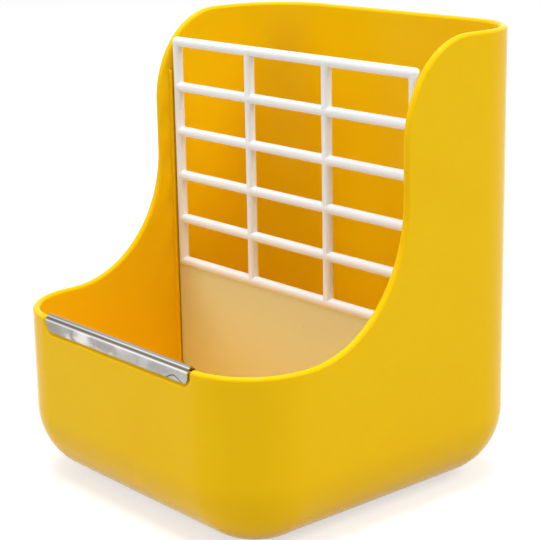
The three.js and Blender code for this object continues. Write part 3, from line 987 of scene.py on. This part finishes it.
@dataclass
class Rack:
    """The white lift-out grid and panel."""

    plane: float = 12.1
    foot: float = 3.3
    half_width: float = 69.5
    pushed_right: float = 0.45
    bar_radius: float = 2.0
    inner_bar: float = 22.2
    pitch: float = 18.5
    rows: int = 5
    panel_top: float = 70.1
    panel_thickness: float = 2.4
    foot_radius: float = 24.8
    panel_edge: float = 0.2
    facets: int = 32
    foot_facets: int = 24
    gate_radius: float = 0.45
    gate_taper: float = 0.8
    gate_height: float = 0.12
    gate_root: float = 0.3
    gate_edge: float = 0.08
    gate_facets: int = 20
    form: Form = field(default_factory=Form, init=False)

    def _nodes(self) -> tuple[list[float], list[float]]:
        """The upright and level lines of the grid.

        Returns:
            The uprights' places along X and the level lines' heights.
        """
        edge = self.half_width - self.bar_radius
        columns = [self.pushed_right + x for x in (-edge, -self.inner_bar, self.inner_bar, edge)]
        return columns, [self.panel_top + k * self.pitch for k in range(self.rows + 1)]

    def _arms(self, column: int, row: int) -> list[Vector]:
        """The directions in which bars leave a crossing.

        Args:
            column: Which upright line it lies on.
            row: Which level line it lies on.

        Returns:
            Unit vectors.
        """
        columns, rows = self._nodes()
        neighbours = (
            (column > 0, -ALONG_X), (column + 1 < len(columns), ALONG_X),
            (row > 0, -ALONG_Z), (row + 1 < len(rows), ALONG_Z),
        )
        return [way for there, way in neighbours if there]

    def _bar(self, start: tuple[int, int], end: tuple[int, int]) -> None:
        """Adds the bar between two neighbouring crossings, mitred where others meet it.

        Args:
            start: Column and row of the first crossing.
            end: Column and row of the second crossing.
        """
        columns, rows = self._nodes()
        low = Vector((columns[start[0]], self.plane, rows[start[1]]))
        high = Vector((columns[end[0]], self.plane, rows[end[1]]))
        along = (high - low).normalized()
        level = abs(along.x) > 0.5
        turn = Matrix.Rotation(math.pi / 2, 4, "Y") if level else Matrix.Identity(4)
        bar = Form()
        bmesh.ops.create_cone(
            bar.bm, cap_ends=False, segments=self.facets, radius1=self.bar_radius, radius2=self.bar_radius,
            depth=(high - low).length + 2 * self.bar_radius,
            matrix=Matrix.Translation((low + high) / 2) @ turn,
        )
        for centre, way, crossing in ((low, along, start), (high, -along, end)):
            across = [other for other in self._arms(*crossing) if abs(other.dot(way)) < 0.5]
            for normal in [way, *((way - other).normalized() for other in across)]:
                bar.slice(bar.bm.faces, centre, normal, clear=True)
        self.form.take(bar)

    def _knuckle(self, column: int, row: int) -> None:
        """Adds the rounded outer corner of the grid.

        Args:
            column: The corner's upright line.
            row: The corner's level line.
        """
        columns, rows = self._nodes()
        centre = Vector((columns[column], self.plane, rows[row]))
        knuckle = Form()
        bmesh.ops.create_uvsphere(
            knuckle.bm, u_segments=self.facets, v_segments=self.facets // 2, radius=self.bar_radius,
            matrix=Matrix.Translation(centre) @ FACING_Y,
        )
        for way in self._arms(column, row):
            knuckle.slice(knuckle.bm.faces, centre, -way, clear=True)
        self.form.take(knuckle)

    def _panel(self) -> None:
        """Adds the plain panel under the grid."""
        slab = Form()
        made = bmesh.ops.create_grid(
            slab.bm, x_segments=1, y_segments=1, size=1.0, matrix=FACING_Y,
        )["verts"]
        tall = (self.panel_top - self.foot) / 2
        bmesh.ops.scale(slab.bm, verts=made, vec=(self.half_width, 1.0, tall))
        front = self.plane - self.panel_thickness / 2
        bmesh.ops.translate(slab.bm, verts=made, vec=(self.pushed_right, front, self.foot + tall))
        feet = slab.vertices(lambda p: p.z < self.foot + NEAR)
        slab.bevel(feet, self.foot_radius, self.foot_facets, Affect.CORNERS)
        slab.draw(slab.bm.faces[:], (0.0, self.panel_thickness, 0.0))
        slab.face_out()
        slab.bevel(slab.outline(), self.panel_edge, ROUND_FACETS)
        self.form.take(slab)

    def _gate_mark(self) -> None:
        """Adds the stub where the moulding's gate was cut off."""
        columns, rows = self._nodes()
        reach = self.bar_radius + self.gate_height / 2 - self.gate_root / 2
        stub = Form()
        bmesh.ops.create_cone(
            stub.bm, cap_ends=True, segments=self.gate_facets, radius1=self.gate_radius,
            radius2=self.gate_radius * self.gate_taper, depth=self.gate_height + self.gate_root,
            matrix=Matrix.Translation((columns[-1], self.plane - reach, rows[-1])) @ FACING_Y,
        )
        stub.bevel(stub.outline(), self.gate_edge, CHAMFER_FACETS)
        self.form.take(stub)

    def build(self) -> None:
        """Makes the rack."""
        columns, rows = self._nodes()
        for row in range(len(rows)):
            for column in range(len(columns)):
                if column + 1 < len(columns):
                    self._bar((column, row), (column + 1, row))
                if row + 1 < len(rows):
                    self._bar((column, row), (column, row + 1))
        for column in (0, len(columns) - 1):
            for row in (0, len(rows) - 1):
                self._knuckle(column, row)
        self.form.seal()
        self._panel()
        self._gate_mark()
        self.form.finish("hay_rack", "rack", "rack_panel", WHITE)


@dataclass
class LipGuard:
    """The folded stainless strip on the front lip."""

    front: float = -72.9
    back: float = -68.9
    foot: float = 62.6
    bend: float = 67.1
    crest: float = 68.9
    crest_radius: float = 1.1
    half_length: float = 43.7
    sheet: float = 0.62
    left_radius: float = 4.3
    right_radius: float = 2.6
    corner_facets: int = 10
    bend_offset: float = 0.35
    edge: float = 0.1
    edge_angle: float = 50.0
    wave: float = 0.1
    wave_top: float = 0.4
    wave_turn: float = 0.21
    wave_drift: float = 0.9
    wave_slow: float = 0.07
    slices: int = 44

    def _profile(self) -> list[Point]:
        """The fold's outer line with its crest still sharp.

        Returns:
            Places as (y, z), from the front flange's foot to the back flange's foot.
        """
        middle = (self.front + self.back) / 2
        half = (self.back - self.front) / 2
        drop = self.crest - self.crest_radius - self.bend
        lean = math.atan2(drop, half) + math.asin(self.crest_radius / math.hypot(half, drop))
        apex = self.bend + half * math.tan(lean)
        return [
            (self.front, self.foot), (self.front, self.bend), (middle, apex),
            (self.back, self.bend), (self.back, self.foot),
        ]

    def build(self) -> None:
        """Makes the guard."""
        form = Form()
        bm = form.bm
        profile = self._profile()
        _, lines = form.line((-self.half_length, y, z) for y, z in profile)
        form.draw(lines, (2 * self.half_length, 0.0, 0.0))
        for side, radius in ((-1, self.left_radius), (1, self.right_radius)):
            corners = form.vertices(lambda p, s=side: p.x * s > 0 and p.z < self.foot + NEAR)
            form.bevel(corners, radius, self.corner_facets, Affect.CORNERS)
        apex = profile[2][1]
        slope = math.atan2(apex - self.bend, (self.back - self.front) / 2)
        ridge = form.edges(lambda p: p.z > apex - NEAR)
        form.bevel(ridge, self.crest_radius * math.tan(slope), self.corner_facets)
        bends = form.edges(lambda p: abs(p.z - self.bend) < NEAR)
        full = [e for e in bends if e.calc_length() > self.half_length]
        form.bevel(full, self.bend_offset, ROUND_FACETS)
        for i in range(1, self.slices):
            form.slice(bm.faces[:], ALONG_X * (self.half_length * (2 * i / self.slices - 1)), ALONG_X)
        form.seal(NEAR)
        if sum(f.normal.z * f.calc_area() for f in bm.faces) < 0:
            bmesh.ops.reverse_faces(bm, faces=bm.faces[:])
        self._bow(form)
        bmesh.ops.solidify(bm, geom=bm.faces[:], thickness=self.sheet)
        piece = form.finish("gnaw_guard", "body", "lip_guard", STAINLESS, crease=32.0)
        trim = piece.modifiers.new("sheet edges", "BEVEL")
        trim.width = self.edge * MM
        trim.segments = CHAMFER_FACETS
        trim.limit_method = "ANGLE"
        trim.angle_limit = math.radians(self.edge_angle)
        piece.modifiers.move(1, 0)

    def _bow(self, form: Form) -> None:
        """Gives the front flange the slight waves of pressed sheet, towards the lip.

        Args:
            form: The guard's form.
        """
        top = self.bend - self.wave_top
        middle = (self.front + self.back) / 2
        for vertex in form.vertices(lambda p: p.z < top and p.y < middle):
            x, z = vertex.co.x, vertex.co.z
            drift = self.wave_drift * math.sin(self.wave_slow * x)
            swing = 0.5 + 0.5 * math.sin(self.wave_turn * x + drift)
            vertex.co.y += self.wave * smooth(top, self.foot, z) * swing


class Side(Enum):
    """Which of the two fixings."""

    LEFT = -1
    RIGHT = 1


@dataclass
class CageFixing:
    """A round-head bolt with its large washer and wing nut."""

    side: Side
    spacing: float = 60.0
    height: float = 39.0
    steps: int = 56
    head_seat: float = 69.6
    head_radius: float = 6.5
    head_height: float = 3.4
    head_facets: int = 14
    head_edge: float = 0.35
    head_land: float = 0.3
    shank_radius: float = 3.0
    shank_end: float = 89.6
    tip_length: float = 0.7
    tip_depth: float = 0.5
    thread_crest: float = 2.98
    thread_root: float = 2.42
    thread_sink: float = 0.1
    thread_foot: float = 0.47
    thread_flat: float = 0.065
    thread_pitch: float = 1.0
    thread_start: float = 73.8
    thread_neck: float = 0.6
    thread_stop: float = 0.9
    thread_facets: int = 28
    recess_length: float = 6.0
    recess_width: float = 1.2
    recess_depth: float = 1.9
    recess_overrun: float = 0.6
    recess_taper: float = 0.55
    washer_seat: float = 73.2
    washer_radius: float = 12.0
    washer_thickness: float = 1.5
    washer_edge: float = 0.22
    washer_facets: int = 3
    washer_steps: int = 72
    bore: float = 3.3
    bore_edge: float = 0.35
    nut_seat: float = 75.0
    nut_base: float = 6.25
    nut_top: float = 5.0
    nut_height: float = 8.0
    nut_foot: float = 2.0
    nut_edge: float = 0.3
    nut_step: float = 0.25
    nut_crown: tuple[Point, ...] = ((0.1, -0.9), (-0.2, -0.35), (-0.7, 0.0))
    wing_outline: tuple[Point, ...] = (
        (3.6, 1.2), (9.36, 1.2), (17.86, 9.7), (13.2, 14.37), (5.64, 6.8), (3.6, 6.8),
    )
    wing_half: float = 1.15
    wing_round: float = 0.75
    wing_bend: float = 1.9
    wing_bend_facets: int = 8
    tip_radius: float = 3.3
    tip_facets: int = 12
    tip_gap: float = 0.02
    name: str = field(init=False)
    axis: Vector = field(init=False)

    def __post_init__(self) -> None:
        """Works out the fixing's name and axis."""
        self.name = self.side.name.lower()
        self.axis = Vector((self.side.value * self.spacing / 2, 0.0, self.height))

    def _thread(self, form: Form) -> None:
        """Adds the thread as one ridge wound along the shank.

        Args:
            form: The bolt's form.
        """
        ridge = Form()
        bm = ridge.bm
        root, crest = self.thread_root - self.thread_sink, self.thread_crest
        foot, flat = self.thread_foot, self.thread_flat
        points = [
            bm.verts.new((self.axis.x + radius, self.thread_start + y, self.axis.z))
            for radius, y in ((root, -foot), (crest, -flat), (crest, flat), (root, foot))
        ]
        face = bm.faces.new(points)
        turns = (self.shank_end - self.thread_stop - self.thread_start) / self.thread_pitch
        steps = round(turns * self.thread_facets)
        bmesh.ops.spin(
            bm, geom=[face, *face.edges, *points], cent=self.axis, axis=ALONG_Y,
            angle=2 * math.pi * steps / self.thread_facets, steps=steps, use_merge=False,
            dvec=ALONG_Y * (self.thread_pitch / self.thread_facets),
        )
        ridge.face_out()
        form.take(ridge)

    def _recess(self) -> Form:
        """The tapered cross that is cut into the bolt's head.

        Returns:
            A closed form.
        """
        cross = Form()
        top = self.head_seat - self.head_height - self.recess_overrun
        deep = self.recess_depth + self.recess_overrun
        place = Matrix.Translation((self.axis.x, top + deep / 2, self.axis.z))
        size = Matrix.Diagonal((self.recess_length, deep, self.recess_width, 1.0))
        taper = (self.recess_taper, 1.0, self.recess_taper)
        for turn in (0.0, math.pi / 2):
            matrix = place @ Matrix.Rotation(turn, 4, "Y") @ size
            made = bmesh.ops.create_cube(cross.bm, size=1.0, matrix=matrix)["verts"]
            tips = [v for v in made if v.co.y > top + deep / 2]
            bmesh.ops.scale(cross.bm, verts=tips, vec=taper, space=Matrix.Translation(-self.axis))
        return cross

    def _bolt(self) -> None:
        """Makes the bolt.

        Known fault: the cut of the recess leaves nothing of the lathed head and shank, so that only
        the thread of the bolt shows.
        """
        form = Form()
        seat, crown, end = self.head_seat, self.head_seat - self.head_height, self.shank_end
        wide, tall = self.head_radius, self.head_height
        arc = [math.pi / 2 * i / self.head_facets for i in range(self.head_facets)]
        profile = [
            *((wide * math.sin(turn), crown + tall * (1 - math.cos(turn))) for turn in arc),
            (wide, seat - self.head_edge), (wide - self.head_land, seat),
            (self.shank_radius, seat), (self.shank_radius, self.thread_start - self.thread_neck),
            (self.thread_root, self.thread_start), (self.thread_root, end - self.tip_length),
            (self.thread_root - self.tip_depth, end), (0.0, end),
        ]
        form.lathe(profile, self.axis, self.steps)
        form.seal()
        form.carve(self._recess())
        self._thread(form)
        form.finish(f"{self.name}_round_head_bolt", "body", f"{self.name}_bolt", ZINC, crease=30.0)

    def _washer(self) -> None:
        """Makes the washer."""
        form = Form()
        low, high = self.washer_seat, self.washer_seat + self.washer_thickness
        inner, outer = self.bore, self.washer_radius
        profile = [(inner, low), (outer, low), (outer, high), (inner, high)]
        form.lathe([*profile, profile[0]], self.axis, self.washer_steps)
        form.seal()
        form.bevel(form.outline(), self.washer_edge, self.washer_facets)
        form.finish(
            f"{self.name}_plate_washer", f"{self.name}_clamp", f"{self.name}_washer", ZINC, crease=60.0,
        )

    def _wing(self, way: int) -> Form:
        """One wing of the nut.

        Args:
            way: 1 for the upper wing and -1 for the lower one.

        Returns:
            A closed form.
        """
        wing = Form()
        bm = wing.bm
        corners = [Vector((x, y, -self.wing_half)) for x, y in self.wing_outline]
        points = [bm.verts.new(corner) for corner in corners]
        bm.faces.new(points)
        wing.bevel(points[2:4], self.tip_radius, self.tip_facets, Affect.CORNERS)
        bends = wing.vertices(lambda p: min((p - corners[1]).length, (p - corners[4]).length) < NEAR)
        wing.bevel(bends, self.wing_bend, self.wing_bend_facets, Affect.CORNERS)
        bmesh.ops.remove_doubles(bm, verts=bm.verts[:], dist=self.tip_gap)
        wing.draw(bm.faces[:], (0.0, 0.0, 2 * self.wing_half))
        wing.face_out()
        turn = Matrix.Rotation(-way * math.pi / 2, 3, "Y")
        bmesh.ops.rotate(bm, verts=bm.verts[:], cent=(0.0, 0.0, 0.0), matrix=turn)
        bmesh.ops.translate(bm, verts=bm.verts[:], vec=self.axis + ALONG_Y * self.nut_seat)
        wing.bevel(wing.outline(), self.wing_round, ROUND_FACETS)
        return wing

    def _wing_nut(self) -> None:
        """Makes the wing nut."""
        form = Form()
        seat, top = self.nut_seat, self.nut_seat + self.nut_height
        base, edge, inner, chamfer = self.nut_base, self.nut_edge, self.bore, self.bore_edge
        profile = [
            (inner + chamfer, seat), (base - edge, seat), (base, seat + edge),
            (base, seat + self.nut_foot - edge), (base - self.nut_step, seat + self.nut_foot),
            *((self.nut_top + out, top + up) for out, up in self.nut_crown),
            (inner + chamfer, top), (inner, top - chamfer), (inner, seat + chamfer),
        ]
        form.lathe([*profile, profile[0]], self.axis, self.steps)
        form.seal()
        for way in (-1, 1):
            form.take(self._wing(way))
        form.finish(
            f"{self.name}_winged_nut", f"{self.name}_nut", f"{self.name}_wing_nut", ZINC, crease=45.0,
        )

    def build(self) -> None:
        """Makes the bolt, the washer and the wing nut."""
        self._bolt()
        self._washer()
        self._wing_nut()


# Camera and light


@dataclass(frozen=True)
class SoftBox:
    """A square lamp that faces a point of the object."""

    name: str
    place: Triple
    size: float
    level: float

    def hang(self, aim: Vector) -> None:
        """Adds the lamp.

        Args:
            aim: The point that it faces.
        """
        lamp = bpy.data.lights.new(self.name, "AREA")
        lamp.size = self.size
        away = Vector(self.place) - aim
        lamp.energy = self.level * math.pi ** 2 * away.length_squared
        holder = add_object(self.name, lamp)
        holder.location = self.place
        holder.rotation_euler = away.to_track_quat("Z", "Y").to_euler()


@dataclass
class Studio:
    """Camera, soft lamps, a white room and a pale floor."""

    azimuth: float = 49.21
    elevation: float = 14.13
    roll: float = -1.01
    distance: float = 0.61834
    target: Triple = (0.00404, 0.00377, 0.0925)
    focal_pixels: float = 1608.99
    centre_pixels: Point = (279.13, 241.09)
    sensor: float = 36.0
    clip_start: float = 0.01
    ambient: float = 0.4
    floor_colour: Colour = (0.57, 0.57, 0.57)
    floor_glow: float = 0.62
    floor_half: float = 3.0
    floor_drop: float = 0.0002
    boxes: tuple[SoftBox, ...] = (
        SoftBox("key box", (1.3, 0.68, 1.4), 0.8, 0.32),
        SoftBox("left box", (-0.8, -1.5, 0.9), 0.8, 0.185),
        SoftBox("top box", (0.05, -0.18, 1.9), 1.1, 0.83),
    )

    def _back(self) -> Vector:
        """The direction from the target to the camera."""
        az, el = math.radians(self.azimuth), math.radians(self.elevation)
        return Vector((math.sin(az) * math.cos(el), -math.cos(az) * math.cos(el), math.sin(el)))

    def _camera(self) -> None:
        """Adds the camera at the photograph's place."""
        az, roll = math.radians(self.azimuth), math.radians(self.roll)
        back = self._back()
        right = Vector((math.cos(az), math.sin(az), 0.0))
        up = back.cross(right)
        across = right * math.cos(roll) + up * math.sin(roll)
        upward = up * math.cos(roll) - right * math.sin(roll)
        data = bpy.data.cameras.new("view")
        data.sensor_fit = "HORIZONTAL"
        data.sensor_width = self.sensor
        data.lens = self.focal_pixels * self.sensor / IMAGE_SIDE
        data.shift_x = (IMAGE_SIDE / 2 - self.centre_pixels[0]) / IMAGE_SIDE
        data.shift_y = (self.centre_pixels[1] - IMAGE_SIDE / 2) / IMAGE_SIDE
        data.clip_start = self.clip_start
        camera = add_object("view", data)
        turn = Matrix((across, upward, back)).transposed().to_4x4()
        camera.matrix_world = Matrix.Translation(Vector(self.target) + back * self.distance) @ turn
        bpy.context.scene.camera = camera

    @staticmethod
    def _seen(graph: Graph) -> Signal:
        """1 for camera, mirror and glass rays, and 0 for the rays that carry light.

        Args:
            graph: The graph that asks.

        Returns:
            The mask.
        """
        path = graph.node("ShaderNodeLightPath", {}, {})
        kinds = ("Is Camera Ray", "Is Glossy Ray", "Is Transmission Ray")
        straight, glossy, through = (Signal(graph, path.outputs[name]) for name in kinds)
        return straight.most(glossy).most(through)

    def _room(self) -> None:
        """Makes the world white to look at and softer as a light."""
        world = bpy.data.worlds.new("white room")
        world.use_nodes = True
        graph = Graph(world.node_tree)
        strength = self.ambient + (1.0 - self.ambient) * self._seen(graph)
        inputs = {"Color": (1.0, 1.0, 1.0, 1.0), "Strength": strength}
        light = graph.signal("ShaderNodeBackground", {}, inputs)
        graph.node("ShaderNodeOutputWorld", {}, {"Surface": light})
        bpy.context.scene.world = world

    @staticmethod
    def _sheet(name: str, half: float, place: Matrix, material: bpy.types.Material) -> None:
        """Adds a flat square of the studio.

        Args:
            name: Its name.
            half: Half its width.
            place: Where it lies, facing its own Z.
            material: Its surface.
        """
        bm = bmesh.new()
        bmesh.ops.create_grid(bm, x_segments=1, y_segments=1, size=half, matrix=place)
        mesh = bpy.data.meshes.new(name)
        bm.to_mesh(mesh)
        bm.free()
        mesh.materials.append(material)
        add_object(name, mesh)

    def _floor(self) -> None:
        """Adds the pale floor, which keeps the object's shadow."""
        material, graph = new_material("pale_floor")
        paint = graph.signal("ShaderNodeBsdfDiffuse", {}, {"Color": (*self.floor_colour, 1.0)})
        glow = graph.signal("ShaderNodeEmission", {}, {"Strength": self.floor_glow * self._seen(graph)})
        both = graph.signal("ShaderNodeAddShader", {}, {0: paint, 1: glow})
        graph.node("ShaderNodeOutputMaterial", {}, {"Surface": both})
        self._sheet("floor", self.floor_half, Matrix.Translation((0.0, 0.0, -self.floor_drop)), material)

    def build(self) -> None:
        """Makes the camera, the room, the floor and the lamps."""
        scene = bpy.context.scene
        scene.view_settings.view_transform = "Standard"
        self._camera()
        self._room()
        self._floor()
        for box in self.boxes:
            box.hang(Vector(self.target))


def main() -> None:
    """Builds the studio and every sub-assembly."""
    logging.basicConfig(level=logging.INFO, format="%(message)s")
    Studio().build()
    Housing().build()
    Rack().build()
    LipGuard().build()
    for side in Side:
        CageFixing(side).build()


if __name__ == "__main__":
    main()
